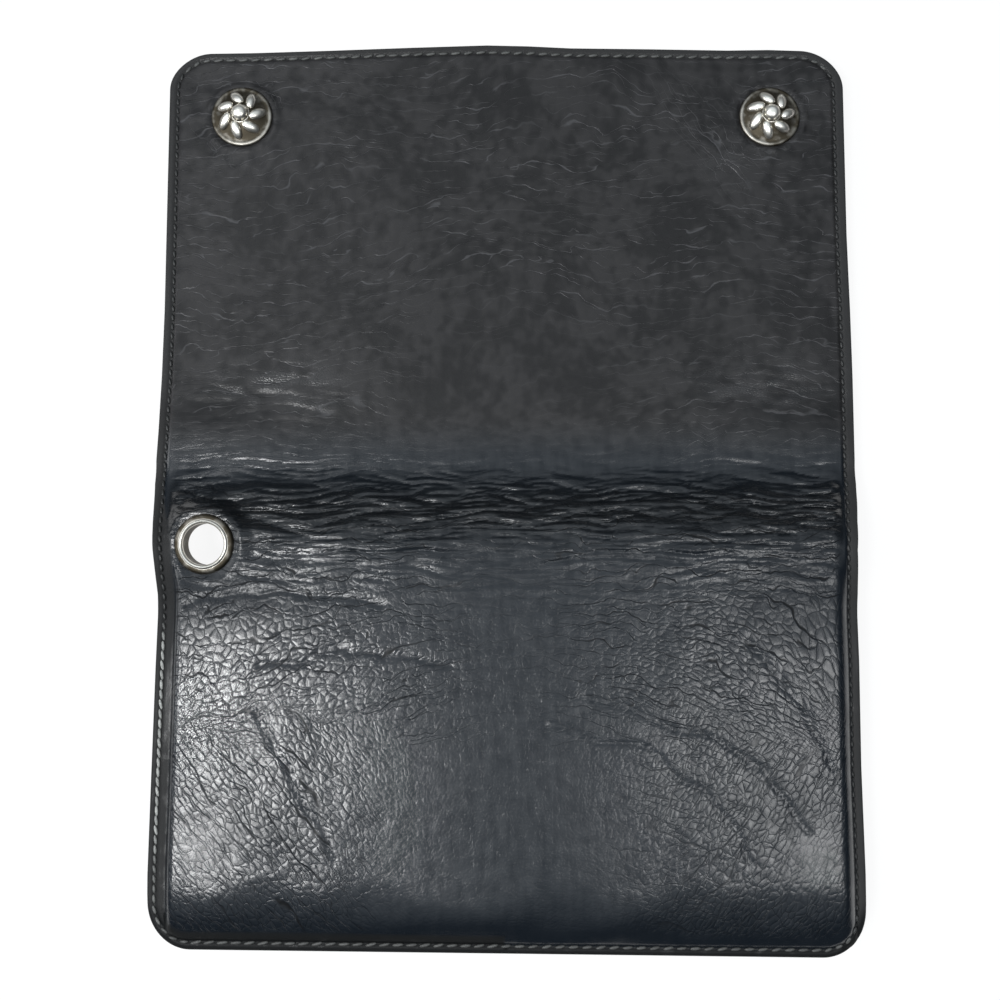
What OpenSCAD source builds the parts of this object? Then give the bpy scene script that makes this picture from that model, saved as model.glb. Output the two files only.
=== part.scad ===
// Long leather wallet with two snaps and a chain grommet, lying open with its outside up.
// X runs along the fold, +Y from the pocket half to the flap, +Z away from the table.

/* [Overall] */
// Width of the wallet, along the fold
wallet_w = 176; // [172:1:184]
// Distance from the middle of the open wallet to either end
half_h = 115; // [112:1:120]
// Radius of the outer corners
corner_r = 11; // [8:1:14]

/* [Leather] */
// Thickness of the outer leather
leather_t = 1.5; // [1.3:0.1:1.6]
// Thickness of the lining and pocket leather
lining_t = 0.7; // [0.6:0.1:0.8]
// Thickness of the front panel
front_t = 1.3; // [1.2:0.1:1.5]
// Width of the sewn margin round the edge
margin_w = 4; // [3:0.5:5]

/* [Pockets] */
// How far below the middle the pockets open
mouth_drop = 25.7; // [25:0.1:28]
// Depth of the bill pocket
bill_gap = 4.4; // [4.3:0.1:5]
// Depth of the coin pocket
coin_gap = 2.2; // [2.2:0.1:2.4]
// Width of the swelling shoulder along the sides
side_shoulder = 8; // [6:0.5:10]
// Width of the swelling shoulder along the lower end
end_shoulder = 15; // [10:1:18]
// Width of the card slots, two columns together
card_w = 122; // [116:1:124]

/* [Fold] */
// How far below the middle the fold starts
fold_drop = 8.4; // [8.3:0.1:9]
// How far above the middle the flap starts
flap_start = 9; // [8:0.1:11]
// How far below the middle the flap's turning axis lies
hinge_drop = 0.8; // [0:0.1:2]

/* [Snaps] */
// Distance of each snap from the middle line
snap_x = 68.8; // [67.5:0.1:70]
// Distance of each snap from the middle of the open wallet
snap_y = 96.1; // [94:0.1:98]
// Radius of the cap
cap_r = 7.9; // [7:0.1:8.5]
// Height of the cap above the leather
cap_h = 4.8; // [4.2:0.1:5]
// Height of the socket below the lining
socket_h = 1.8; // [1.8:0.05:1.9]

/* [Grommet] */
// Distance of the grommet from the middle line
grommet_x = 74.1; // [73:0.1:75]
// How far below the middle the grommet sits
grommet_drop = 15.7; // [15.5:0.1:16]
// Radius of the hole through the grommet
grommet_bore_r = 5.1; // [4.8:0.1:5.2]
// Radius of the grommet's flange
grommet_r = 7.45; // [7:0.05:7.5]

/* [Zip] */
// Half the length of a row of teeth
zip_half = 60; // [50:1:62]
// Distance from tooth to tooth
tooth_pitch = 2.4; // [2.2:0.1:3]
// Length of the slider
slider_len = 9; // [8:0.5:10]
// Length of the pull tab
pull_len = 12; // [9:0.5:12.5]

/* [Hidden] */
$fn = 64;
layer_gap = 0.02;

// Heights of the layers of the pocket half, from the table up
card_t = lining_t;
front_z = 3 * card_t;
coin_z = front_z + front_t;
coin_back_z = coin_z + coin_gap;
bill_z = coin_back_z + lining_t;
shell_t = leather_t + lining_t;
rim_top = bill_z + shell_t;
crown_top = rim_top + bill_gap;
mouth_y = -mouth_drop;

// The fold: a soft S-shaped stretch from the crown down to the flap, which turns about an axis below it
closed_gap = 0.3;
fold_gap = 0.3;
fold_from = -fold_drop;
fold_to = flap_start;
hinge_y = -hinge_drop;
hinge_z = (socket_h - closed_gap) / 2;
flap_top = socket_h + shell_t;

// Where the snaps meet when the flap is closed
stud_y = 2 * hinge_y - snap_y;
closed_sum = 2 * hinge_z;
spring_z = 0.55;
spring_wire_r = 0.25;
spring_r = 2.7;
stud_neck_r = 2.3;
stud_head_r = 2.75;
post_r = 1.4;
cap_post_r = 1.6;
pin_clear = 0.05;
socket_r = 5.5;
socket_neck_r = 3.4;
socket_neck_h = 0.6;

// Shape of the outer surface of the pocket half and the fold
rise_start = -34;
rise_w = 18;
edge_sag = 0.5;
function ease(t) = let(c = min(1, max(0, t))) c * c * (3 - 2 * c);
function swell(t) = 1 - (1 - min(1, max(0, t))) ^ 2.2;
function corner_past(y) = max(0, abs(y) - (half_h - corner_r));
function half_width(y) = wallet_w / 2 - corner_r + sqrt(corner_r ^ 2 - corner_past(y) ^ 2);
function rim_level(y) = rim_top + (bill_gap - edge_sag) * ease((y - rise_start) / rise_w);
function side_swell(x, y) = swell((half_width(y) - abs(x) - margin_w) / side_shoulder);
function end_swell(y) = swell((y + half_h - margin_w) / end_shoulder);
function body_level(x, y) =
    rim_level(y) + (crown_top - rim_level(y)) * side_swell(x, y) * end_swell(y);
function outer_z(x, y) =
    let(level = body_level(x, y), fall = ease((y - fold_from) / (fold_to - fold_from)))
    level + (flap_top - level) * fall;

// Grid lines of the swollen sheets: rows follow the round corners, columns crowd at the sides
corner_rows = [for (a = [0:18:90]) -half_h + corner_r * (1 - cos(a))];
back_rows = concat(corner_rows, [-99, -94, -80, -55, rise_start, -30, mouth_y]);
band_rows = [mouth_y + layer_gap, -21, -16, -12, fold_from];
fold_steps = 8;
fold_rows = [for (i = [0:fold_steps]) fold_from + layer_gap + (fold_to - fold_from - layer_gap) * i / fold_steps];
edge_steps = [0, margin_w, margin_w + 1.5, margin_w + 3.5, margin_w + 6, margin_w + side_shoulder, 40];
left_columns = [for (e = edge_steps) -1 + 2 * e / wallet_w];
columns = concat(left_columns, [0], [for (i = [len(left_columns) - 1:-1:0]) -left_columns[i]]);

// The grommet leans with the leather it is set in
grommet_tilt = [2.5, -3, 0];
grommet_z = outer_z(-grommet_x, -grommet_drop) - 0.1;
grommet_rise = 1.5;
barrel_wall = 0.6;
washer_t = 0.65;
washer_r = 7.2;
washer_z = -shell_t - 0.05 - washer_t;
barrel_low = washer_z - 0.75;

// The zip closes the mouth of the coin pocket
tape_t = 0.4;
tape_low_y = mouth_y - 5.3;
tape_high_y = mouth_y + 1.4;
tooth_y = tape_high_y + 1.4;
tooth_t = 1.05;
row_gap = 1;
zip_z = coin_z + coin_gap / 2;
slider_rest_x = zip_half - slider_len / 2 - 1.5;
slider_face_y = tooth_y + 0.3;
slider_t = 0.9;
pull_pin_r = 0.5;
pull_y = slider_face_y + slider_t + 1.1;

leather_colour = [0.12, 0.12, 0.13];
lining_colour = [0.16, 0.14, 0.13];
pocket_colour = [0.2, 0.17, 0.15];
silver_colour = [0.72, 0.7, 0.66];
tape_colour = [0.1, 0.1, 0.1];

// A swollen leather sheet between two depths below the outer surface
module sheet(rows, top_depth, low_depth) {
    n = len(columns);
    m = len(rows);
    function face(depth) = [
        for (y = rows) for (u = columns) let(x = u * half_width(y)) [x, y, outer_z(x, y) - depth]
    ];
    function low(i, j) = i * n + j;
    function top(i, j) = m * n + i * n + j;
    top_faces = [
        for (i = [0:m - 2]) for (j = [0:n - 2]) each [
            [top(i, j), top(i + 1, j), top(i + 1, j + 1)],
            [top(i, j), top(i + 1, j + 1), top(i, j + 1)]
        ]
    ];
    low_faces = [
        for (i = [0:m - 2]) for (j = [0:n - 2]) each [
            [low(i, j), low(i, j + 1), low(i + 1, j + 1)],
            [low(i, j), low(i + 1, j + 1), low(i + 1, j)]
        ]
    ];
    end_faces = [
        for (j = [0:n - 2]) each [
            [low(0, j), top(0, j), top(0, j + 1), low(0, j + 1)],
            [low(m - 1, j + 1), top(m - 1, j + 1), top(m - 1, j), low(m - 1, j)]
        ]
    ];
    side_faces = [
        for (i = [0:m - 2]) each [
            [low(i + 1, 0), top(i + 1, 0), top(i, 0), low(i, 0)],
            [low(i, n - 1), top(i, n - 1), top(i + 1, n - 1), low(i + 1, n - 1)]
        ]
    ];
    polyhedron(
        concat(face(low_depth), face(top_depth)),
        concat(top_faces, low_faces, end_faces, side_faces)
    );
}

// Flat panel with the wallet's round corners at its end away from the fold
module panel(from_y, end_sign, t) {
    end_y = end_sign * half_h;
    inner_y = end_sign * (half_h - corner_r);
    union() {
        translate([-wallet_w / 2, min(from_y, inner_y), 0])
            cube([wallet_w, abs(inner_y - from_y), t]);
        translate([-wallet_w / 2 + corner_r, min(from_y, end_y), 0])
            cube([wallet_w - 2 * corner_r, abs(end_y - from_y), t]);
        for (side = [-1, 1])
            translate([side * (wallet_w / 2 - corner_r), inner_y, 0])
                cylinder(h = t, r = corner_r);
    }
}

// Moves its children to the grommet's seat
module at_grommet() {
    translate([-grommet_x, -grommet_drop, grommet_z])
        rotate(grommet_tilt)
            children();
}

module back_panel() {
    color(leather_colour)
        sheet(back_rows, 0, leather_t);
}

module back_lining() {
    color(lining_colour)
        sheet(back_rows, leather_t + layer_gap, shell_t);
}

module grommet_band() {
    color(leather_colour)
        difference() {
            sheet(band_rows, 0, leather_t);
            at_grommet() {
                cylinder(h = 20, r = grommet_bore_r + barrel_wall + pin_clear, center = true);
                cylinder(h = 5, r = grommet_r + pin_clear);
            }
        }
}

module band_lining() {
    color(lining_colour)
        difference() {
            sheet(band_rows, leather_t + layer_gap, shell_t);
            at_grommet() {
                cylinder(h = 20, r = grommet_bore_r + barrel_wall + pin_clear, center = true);
                translate([0, 0, washer_z + washer_t - 5])
                    cylinder(h = 5, r = washer_r + pin_clear);
            }
        }
}

module front_panel() {
    color(leather_colour)
        difference() {
            translate([0, 0, front_z])
                panel(mouth_y, -1, front_t);
            for (side = [-1, 1])
                translate([side * snap_x, stud_y, 0])
                    cylinder(h = 20, r = post_r + pin_clear);
        }
}

module coin_gusset() {
    gusset_t = coin_gap - 2 * layer_gap;
    inner_w = wallet_w - 2 * margin_w;
    inner_low = -half_h + margin_w;
    color(pocket_colour)
        difference() {
            translate([0, 0, coin_z + layer_gap])
                panel(mouth_y, -1, gusset_t);
            translate([-inner_w / 2, inner_low + corner_r, 0])
                cube([inner_w, half_h, 20]);
            translate([-inner_w / 2 + corner_r, inner_low, 0])
                cube([inner_w - 2 * corner_r, half_h, 20]);
            for (side = [-1, 1])
                translate([side * (inner_w / 2 - corner_r), inner_low + corner_r, 0])
                    cylinder(h = 20, r = corner_r);
        }
}

module coin_back_panel() {
    color(pocket_colour)
        translate([0, 0, coin_back_z])
            panel(mouth_y, -1, lining_t - layer_gap);
}

// A card slot with a thumb notch in the mouth of each of its two columns
module card_slot(index) {
    slot_low = -109;
    slot_high = -30 - 8 * index;
    notch_r = 10;
    color(pocket_colour)
        difference() {
            translate([-card_w / 2, slot_low, front_z - (index + 1) * card_t])
                cube([card_w, slot_high - slot_low, card_t - layer_gap]);
            for (side = [-1, 1])
                translate([side * card_w / 4, slot_high + notch_r / 2, -1])
                    cylinder(h = 20, r = notch_r);
        }
}

module card_slot_1() {
    card_slot(0);
}

module card_slot_2() {
    card_slot(1);
}

module card_slot_3() {
    card_slot(2);
}

// A strip of zip tape, lying on the inside of a pocket panel
module zip_tape(z) {
    end_w = 8;
    color(tape_colour)
        translate([-zip_half - end_w, tape_low_y, z])
            cube([2 * (zip_half + end_w), tape_high_y - tape_low_y, tape_t]);
}

module zip_tape_front() {
    zip_tape(coin_z + layer_gap);
}

module zip_tape_back() {
    zip_tape(coin_back_z - tape_t - layer_gap);
}

// A row of teeth on the bead along the edge of its tape
module zip_teeth(z, shift) {
    bead_w = 0.4;
    tooth_w = 1.1;
    teeth = floor(2 * zip_half / tooth_pitch);
    color(silver_colour)
        union() {
            translate([-zip_half, tape_high_y, z])
                cube([2 * zip_half, bead_w, tooth_t]);
            for (i = [0:teeth - 1])
                translate([-zip_half + shift + i * tooth_pitch, tape_high_y + bead_w / 2, z])
                    cube([tooth_w, tooth_y - tape_high_y - bead_w / 2, tooth_t]);
        }
}

module zip_teeth_front() {
    zip_teeth(zip_z - row_gap / 2 - tooth_t, 0);
}

module zip_teeth_back() {
    zip_teeth(zip_z + row_gap / 2, tooth_pitch / 2);
}

module zip_end_stops() {
    stop_w = 1.6;
    color(silver_colour)
        for (side = [-1, 1])
            translate([side * (zip_half + 0.1 + stop_w / 2), 0, zip_z])
                translate([-stop_w / 2, tape_high_y, -row_gap / 2 - tooth_t])
                    cube([stop_w, tooth_y - tape_high_y, row_gap + 2 * tooth_t]);
}

// Stud on the front panel, facing the table, with a bore for its post
module stud(side) {
    flange_r = 5;
    flange_t = 0.3;
    neck_low = closed_sum - spring_z - spring_wire_r - 0.05;
    tip_z = 0.1;
    edge_c = 0.25;
    color(silver_colour)
        translate([side * snap_x, stud_y, 0])
            rotate_extrude()
                polygon([
                    [post_r + pin_clear, tip_z],
                    [stud_head_r - edge_c, tip_z],
                    [stud_head_r, tip_z + edge_c],
                    [stud_head_r, neck_low],
                    [stud_neck_r, neck_low],
                    [stud_neck_r, front_z - flange_t],
                    [flange_r, front_z - flange_t],
                    [flange_r, front_z],
                    [post_r + pin_clear, front_z]
                ]);
}

module stud_left() {
    stud(-1);
}

module stud_right() {
    stud(1);
}

// Rivet post that holds the stud, with its head inside the coin pocket
module stud_post(side) {
    head_r = 4.5;
    head_t = 0.4;
    color(silver_colour)
        translate([side * snap_x, stud_y, 0])
            union() {
                translate([0, 0, 0.1])
                    cylinder(h = coin_z - 0.1 + head_t, r = post_r);
                translate([0, 0, coin_z])
                    cylinder(h = head_t, r = head_r);
            }
}

module stud_post_left() {
    stud_post(-1);
}

module stud_post_right() {
    stud_post(1);
}

// Eyelet with a rolled flange on the leather and a barrel clenched over the washer
module grommet_eyelet() {
    barrel_r = grommet_bore_r + barrel_wall;
    color(silver_colour)
        at_grommet()
            rotate_extrude()
                polygon([
                    [grommet_bore_r, barrel_low],
                    [grommet_bore_r, grommet_rise - 0.6],
                    [grommet_bore_r + 0.4, grommet_rise - 0.1],
                    [grommet_bore_r + 1, grommet_rise],
                    [grommet_r - 0.6, grommet_rise - 0.3],
                    [grommet_r, grommet_rise - 1],
                    [grommet_r, 0],
                    [barrel_r, 0],
                    [barrel_r, washer_z - 0.05],
                    [barrel_r + 0.7, washer_z - 0.3],
                    [barrel_r + 0.7, barrel_low]
                ]);
}

module grommet_washer() {
    color(silver_colour)
        at_grommet()
            translate([0, 0, washer_z])
                difference() {
                    cylinder(h = washer_t, r = washer_r);
                    translate([0, 0, -1])
                        cylinder(h = 5, r = grommet_bore_r + barrel_wall + pin_clear);
                }
}

// Slider: a face plate over the teeth, a web between the rows and a bar inside the pocket
module zip_slider() {
    lip_t = 0.45;
    lip_clear = 0.25;
    web_t = 0.6;
    web_l = 3;
    bar_t = 1;
    bar_w = 2;
    face_h = row_gap + 2 * tooth_t + 2 * (lip_clear + lip_t);
    bar_y = tape_high_y - 3.2;
    lug_w = 2;
    lug_t = 0.6;
    lug_gap = 1.8;
    color(silver_colour)
        translate([slider_rest_x, 0, zip_z])
            union() {
                translate([-slider_len / 2, slider_face_y, -face_h / 2])
                    cube([slider_len, slider_t, face_h]);
                for (level = [-face_h / 2, face_h / 2 - lip_t])
                    translate([-slider_len / 2, tape_high_y + 0.5, level])
                        cube([slider_len, slider_face_y - tape_high_y, lip_t]);
                translate([slider_len / 2 - web_l, bar_y, -web_t / 2])
                    cube([web_l, slider_face_y - bar_y + 0.1, web_t]);
                translate([-slider_len / 2, bar_y, -bar_t / 2])
                    cube([slider_len, bar_w, bar_t]);
                for (level = [-lug_gap / 2 - lug_t, lug_gap / 2])
                    translate([-lug_w / 2, slider_face_y, level])
                        cube([lug_w, pull_y - slider_face_y + lug_w / 2, lug_t]);
                translate([0, pull_y, -lug_gap / 2 - lug_t / 2])
                    cylinder(h = lug_gap + lug_t, r = pull_pin_r);
            }
}

// Pull tab, hung on the slider's pin
module zip_pull() {
    eye_r = 1.05;
    eye_h = 1.5;
    pull_t = 0.8;
    pull_h = 3.2;
    neck_l = 3;
    color(silver_colour)
        translate([slider_rest_x, pull_y, zip_z])
            difference() {
                union() {
                    cylinder(h = eye_h, r = eye_r, center = true);
                    translate([-neck_l, -pull_t / 2, -eye_h / 2])
                        cube([neck_l, pull_t, eye_h]);
                    translate([-pull_len, -pull_t / 2, -pull_h / 2])
                        cube([pull_len - neck_l + 0.5, pull_t, pull_h]);
                }
                cylinder(h = 10, r = pull_pin_r + 0.1, center = true);
            }
}

module fold_leather() {
    color(leather_colour)
        sheet(fold_rows, 0, leather_t);
}

module fold_lining() {
    color(lining_colour)
        sheet(fold_rows, leather_t + layer_gap, shell_t);
}

module flap_panel() {
    color(leather_colour)
        difference() {
            translate([0, 0, socket_h + lining_t + layer_gap])
                panel(flap_start + fold_gap, 1, leather_t - layer_gap);
            for (side = [-1, 1])
                translate([side * snap_x, snap_y, 0])
                    cylinder(h = 20, r = cap_post_r + pin_clear);
        }
}

module flap_lining() {
    color(lining_colour)
        difference() {
            translate([0, 0, socket_h])
                panel(flap_start + fold_gap, 1, lining_t);
            for (side = [-1, 1])
                translate([side * snap_x, snap_y, 0])
                    cylinder(h = 20, r = socket_neck_r + pin_clear);
        }
}

// Domed cap on a post that goes through the flap into the socket
module cap(side) {
    rim_h = 1;
    dome_r = cap_r - 0.8;
    dome_h = 2.4;
    dome_ball_r = (dome_r ^ 2 + dome_h ^ 2) / (2 * dome_h);
    boss_r = 1.8;
    post_low = socket_h + socket_neck_h - layer_gap - 0.65;
    cap_z = socket_h + shell_t;
    color(silver_colour)
        translate([side * snap_x, snap_y, 0])
            union() {
                translate([0, 0, cap_z])
                    cylinder(h = rim_h, r = cap_r);
                intersection() {
                    translate([0, 0, cap_z + rim_h + dome_h - dome_ball_r])
                        sphere(r = dome_ball_r);
                    translate([0, 0, cap_z + rim_h / 2])
                        cylinder(h = 10, r = cap_r);
                }
                translate([0, 0, cap_z + cap_h - boss_r])
                    sphere(r = boss_r);
                translate([0, 0, post_low])
                    cylinder(h = cap_z + rim_h / 2 - post_low, r = cap_post_r);
            }
}

module cap_left() {
    cap(-1);
}

module cap_right() {
    cap(1);
}

// Socket under the flap, with a groove for its spring and a neck let into the lining
module socket(side) {
    lip_r = 2.9;
    groove_r = 3.6;
    cavity_r = 3.1;
    groove_low = spring_z - spring_wire_r - 0.05;
    groove_high = spring_z + spring_wire_r + 0.05;
    floor_z = 1.75;
    neck_z = socket_h + socket_neck_h - layer_gap;
    hole_r = cap_post_r + pin_clear;
    color(silver_colour)
        translate([side * snap_x, snap_y, 0])
            rotate_extrude()
                polygon([
                    [lip_r, 0],
                    [socket_r, 0],
                    [socket_r, socket_h - layer_gap],
                    [socket_neck_r, socket_h - layer_gap],
                    [socket_neck_r, neck_z],
                    [hole_r, neck_z],
                    [hole_r, floor_z],
                    [cavity_r, floor_z],
                    [cavity_r, groove_high],
                    [groove_r, groove_high],
                    [groove_r, groove_low],
                    [lip_r, groove_low]
                ]);
}

module socket_left() {
    socket(-1);
}

module socket_right() {
    socket(1);
}

// Split ring that grips the neck of the stud
module socket_spring(side) {
    split_angle = 24;
    color(silver_colour)
        translate([side * snap_x, snap_y, spring_z])
            rotate_extrude(angle = 360 - split_angle)
                translate([spring_r, 0])
                    circle(r = spring_wire_r);
}

module socket_spring_left() {
    socket_spring(-1);
}

module socket_spring_right() {
    socket_spring(1);
}

back_panel();
back_lining();
grommet_band();
band_lining();
front_panel();
coin_gusset();
coin_back_panel();
card_slot_1();
card_slot_2();
card_slot_3();
zip_tape_front();
zip_tape_back();
zip_teeth_front();
zip_teeth_back();
zip_end_stops();
stud_left();
stud_right();
stud_post_left();
stud_post_right();
grommet_eyelet();
grommet_washer();
zip_slider();
zip_pull();
fold_leather();
fold_lining();
flap_panel();
flap_lining();
cap_left();
cap_right();
socket_left();
socket_right();
socket_spring_left();
socket_spring_right();
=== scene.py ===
import math

import bpy
import numpy as np
from mathutils import Matrix, Vector


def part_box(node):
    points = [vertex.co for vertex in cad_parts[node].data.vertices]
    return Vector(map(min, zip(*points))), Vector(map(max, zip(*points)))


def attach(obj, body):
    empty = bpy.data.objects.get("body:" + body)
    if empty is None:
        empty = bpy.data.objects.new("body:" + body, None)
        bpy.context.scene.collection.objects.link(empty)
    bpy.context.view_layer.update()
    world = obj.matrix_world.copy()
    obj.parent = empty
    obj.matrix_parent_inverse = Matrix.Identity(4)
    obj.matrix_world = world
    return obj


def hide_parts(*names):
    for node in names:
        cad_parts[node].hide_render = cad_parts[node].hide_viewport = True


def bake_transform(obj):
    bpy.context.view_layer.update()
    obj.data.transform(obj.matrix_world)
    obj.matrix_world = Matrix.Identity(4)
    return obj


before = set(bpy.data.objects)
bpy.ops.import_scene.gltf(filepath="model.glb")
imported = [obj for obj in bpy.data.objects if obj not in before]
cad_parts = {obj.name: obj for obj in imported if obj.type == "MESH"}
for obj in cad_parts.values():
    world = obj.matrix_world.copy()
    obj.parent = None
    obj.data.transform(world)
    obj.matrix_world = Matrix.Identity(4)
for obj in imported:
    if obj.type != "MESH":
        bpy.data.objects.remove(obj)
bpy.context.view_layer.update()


# Studio. The open wallet lies on a white table with its outside up, and the camera hangs above its middle and
# looks down, leaning a little towards the flap. The table is set low, so that the closed flap shows.
# The light is a pale ceiling that darkens to the sides, a softbox over each lower corner and weaker ones.
scene = bpy.context.scene
scene.view_settings.view_transform = "Standard"

camera_data = bpy.data.cameras.new("studio_camera")
camera_data.sensor_width = 36
camera_data.lens = 41.4
camera = bpy.data.objects.new("studio_camera", camera_data)
camera.location = (-0.0015, -0.0283, 0.295)
camera.rotation_euler = (math.radians(4.75), 0, 0)
scene.collection.objects.link(camera)
scene.camera = camera


def add_node(tree, kind, settings=(), **sockets):
    made = tree.nodes.new(kind)
    for name, value in dict(settings).items():
        setattr(made, name, value)
    for name, value in sockets.items():
        socket = made.inputs[int(name[1:])] if name[1:].isdigit() else made.inputs[name.replace("_", " ")]
        if isinstance(value, bpy.types.NodeSocket):
            tree.links.new(value, socket)
        else:
            socket.default_value = value
    return made


softboxes = {
    "left": ((-0.242, -0.152, 0.62), (-0.07, -0.06, 0.0), (0.14, 0.125), 2.10),
    "left_fill": ((-0.250, -0.150, 0.63), (-0.06, -0.06, 0.0), (0.19, 0.19), 0.30),
    "right": ((0.240, -0.160, 0.62), (0.06, -0.06, 0.0), (0.15, 0.17), 0.93),
    "side": ((-0.55, 0.10, 0.45), (-0.03, 0.03, 0.0), (0.30, 0.30), 0.82),
    "low": ((-0.75, -0.06, 0.42), (-0.08, -0.06, 0.01), (0.25, 0.25), 1.0),
    "far": ((-0.21, 0.28, 0.55), (-0.06, 0.03, 0.0), (0.22, 0.12), 0.22),
}
for name, (place, target, size, power) in softboxes.items():
    light = bpy.data.lights.new("softbox_" + name, "AREA")
    light.shape = "RECTANGLE"
    light.size = size[0]
    light.size_y = size[1]
    light.energy = power
    lamp = bpy.data.objects.new("softbox_" + name, light)
    lamp.location = place
    lamp.rotation_mode = "QUATERNION"
    lamp.rotation_quaternion = (Vector(target) - Vector(place)).to_track_quat("-Z", "Y")
    scene.collection.objects.link(lamp)


def span(tree, value, low, high, first, last, curve="LINEAR"):
    made = add_node(tree, "ShaderNodeMapRange", {"interpolation_type": curve}, Value=value, i1=low, i2=high,
                    i3=first, i4=last)
    return made.outputs["Result"]


sky = bpy.data.worlds.new("studio_sky")
scene.world = sky
sky.use_nodes = True
sky.node_tree.nodes.clear()
sky_tree = sky.node_tree
sky_direction = add_node(sky_tree, "ShaderNodeTexCoord")
sky_lean = add_node(sky_tree, "ShaderNodeVectorMath", {"operation": "DOT_PRODUCT"},
                    i0=sky_direction.outputs["Generated"], i1=(-0.16, 0.10, 0.982))
sky_height = span(sky_tree, sky_lean.outputs["Value"], 0.30, 0.98, 0.05, 0.98, "SMOOTHSTEP")
sky_light = add_node(sky_tree, "ShaderNodeBackground", Color=(0.91, 1.0, 1.08, 1.0), Strength=sky_height)
sky_white = add_node(sky_tree, "ShaderNodeBackground", Color=(1.0, 1.0, 1.0, 1.0), Strength=1.0)
sky_path = add_node(sky_tree, "ShaderNodeLightPath")
sky_seen = add_node(sky_tree, "ShaderNodeMixShader", i0=sky_path.outputs["Is Camera Ray"],
                    i1=sky_light.outputs["Background"], i2=sky_white.outputs["Background"])
add_node(sky_tree, "ShaderNodeOutputWorld", Surface=sky_seen.outputs["Shader"])


def new_material(name):
    material = bpy.data.materials.new(name)
    material.use_nodes = True
    material.node_tree.nodes.clear()
    return material


def maths(tree, operation, first, second, third=0.0):
    made = add_node(tree, "ShaderNodeMath", {"operation": operation}, i0=first, i1=second, i2=third)
    return made.outputs["Value"]


table_drop = 0.0032
bpy.ops.object.select_all(action="DESELECT")
bpy.ops.mesh.primitive_plane_add(size=12, location=(0, 0, -table_drop))
table_top = bpy.context.object
table_top.name = "table_top"
bpy.ops.object.transform_apply(location=True, rotation=True, scale=True)
table_paint = new_material("table_paint")
table_tree = table_paint.node_tree
table_path = add_node(table_tree, "ShaderNodeLightPath").outputs
table_seen = maths(table_tree, "MAXIMUM", table_path["Is Camera Ray"], table_path["Is Glossy Ray"])
table_shown = maths(table_tree, "MAXIMUM", table_seen, table_path["Is Transmission Ray"])
table_share = maths(table_tree, "MULTIPLY", table_shown, 0.88)
table_matte = add_node(table_tree, "ShaderNodeBsdfDiffuse", Color=(0.93, 0.93, 0.93, 1.0))
table_white = add_node(table_tree, "ShaderNodeEmission", Color=(1.0, 1.0, 1.0, 1.0), Strength=1.0)
table_face = add_node(table_tree, "ShaderNodeMixShader", i0=table_share,
                      i1=table_matte.outputs["BSDF"], i2=table_white.outputs["Emission"])
table_clear = add_node(table_tree, "ShaderNodeBsdfTransparent")
table_side = add_node(table_tree, "ShaderNodeNewGeometry")
table_both = add_node(table_tree, "ShaderNodeMixShader", i0=table_side.outputs["Backfacing"],
                      i1=table_face.outputs["Shader"], i2=table_clear.outputs["BSDF"])
add_node(table_tree, "ShaderNodeOutputMaterial", Surface=table_both.outputs["Shader"])
table_top.data.materials.append(table_paint)


# Outer leather. One hide covers the pocket half, rolls over the fold and becomes the flap. It is black,
# waxed and worn, with a cracked pebble grain on the pocket half and fine creases on the flap.
# It is cut in two beside the fold.
mm = 0.001
half_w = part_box("back_panel")[1].x / mm
half_h = -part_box("back_panel")[0].y / mm
corner_r = 11.0
crown_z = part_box("back_panel")[1].z / mm
flap_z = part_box("flap_panel")[1].z / mm
leather_t = 1.5
rim_z = 8.5
seam_end = 2.0
edge_roll = 0.55
groove_depth = 0.42
groove_half = 0.6
puff_start_left = 4.6
puff_start_right = 2.3
puff_run_left = 2.8
puff_run_right = 5.0
puff_run_end = 16.0
body_end_y = -8.4
foot_y = -101.0
plain_edge = 3.6
plain_fade = 3.0
fold_low = -17.0
fold_high = 5.4
split_y = 3.0
grommet_at = ((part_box("grommet_eyelet")[0].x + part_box("grommet_eyelet")[1].x) / 2 / mm,
              (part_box("grommet_eyelet")[0].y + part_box("grommet_eyelet")[1].y) / 2 / mm)
grommet_z = 12.8
grommet_lean = (math.radians(3), math.radians(2.5))
leather_hole_r = 6.4
flat_r = 7.0
pucker_r = 9.0
snap_x = (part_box("cap_right")[0].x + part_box("cap_right")[1].x) / 2 / mm
snap_y = (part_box("cap_right")[0].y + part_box("cap_right")[1].y) / 2 / mm


def smooth(t):
    c = np.clip(t, 0.0, 1.0)
    return c * c * (3 - 2 * c)


def swell(t):
    return 1 - (1 - np.clip(t, 0.0, 1.0)) ** 2.2


def bell(d, width):
    return np.exp(-(d / width) ** 2)


def ripple(u, v, seed):
    iu = np.floor(u)
    iv = np.floor(v)
    fu = u - iu
    fv = v - iv

    def corner(a, b):
        turn = np.sin((iu + a) * 127.1 + (iv + b) * 311.7 + seed * 74.7) * 43758.5453
        angle = 2 * np.pi * (turn - np.floor(turn))
        return np.cos(angle) * (fu - a) + np.sin(angle) * (fv - b)

    su = fu ** 3 * (fu * (fu * 6 - 15) + 10)
    sv = fv ** 3 * (fv * (fv * 6 - 15) + 10)
    low = corner(0, 0) * (1 - su) + corner(1, 0) * su
    high = corner(0, 1) * (1 - su) + corner(1, 1) * su
    return 1.5 * (low * (1 - sv) + high * sv)


def edge_distance(x, y):
    qx = np.abs(x) - (half_w - corner_r)
    qy = np.abs(y) - (half_h - corner_r)
    past = np.hypot(np.maximum(qx, 0), np.maximum(qy, 0))
    return corner_r - past - np.minimum(np.maximum(qx, qy), 0)


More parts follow.
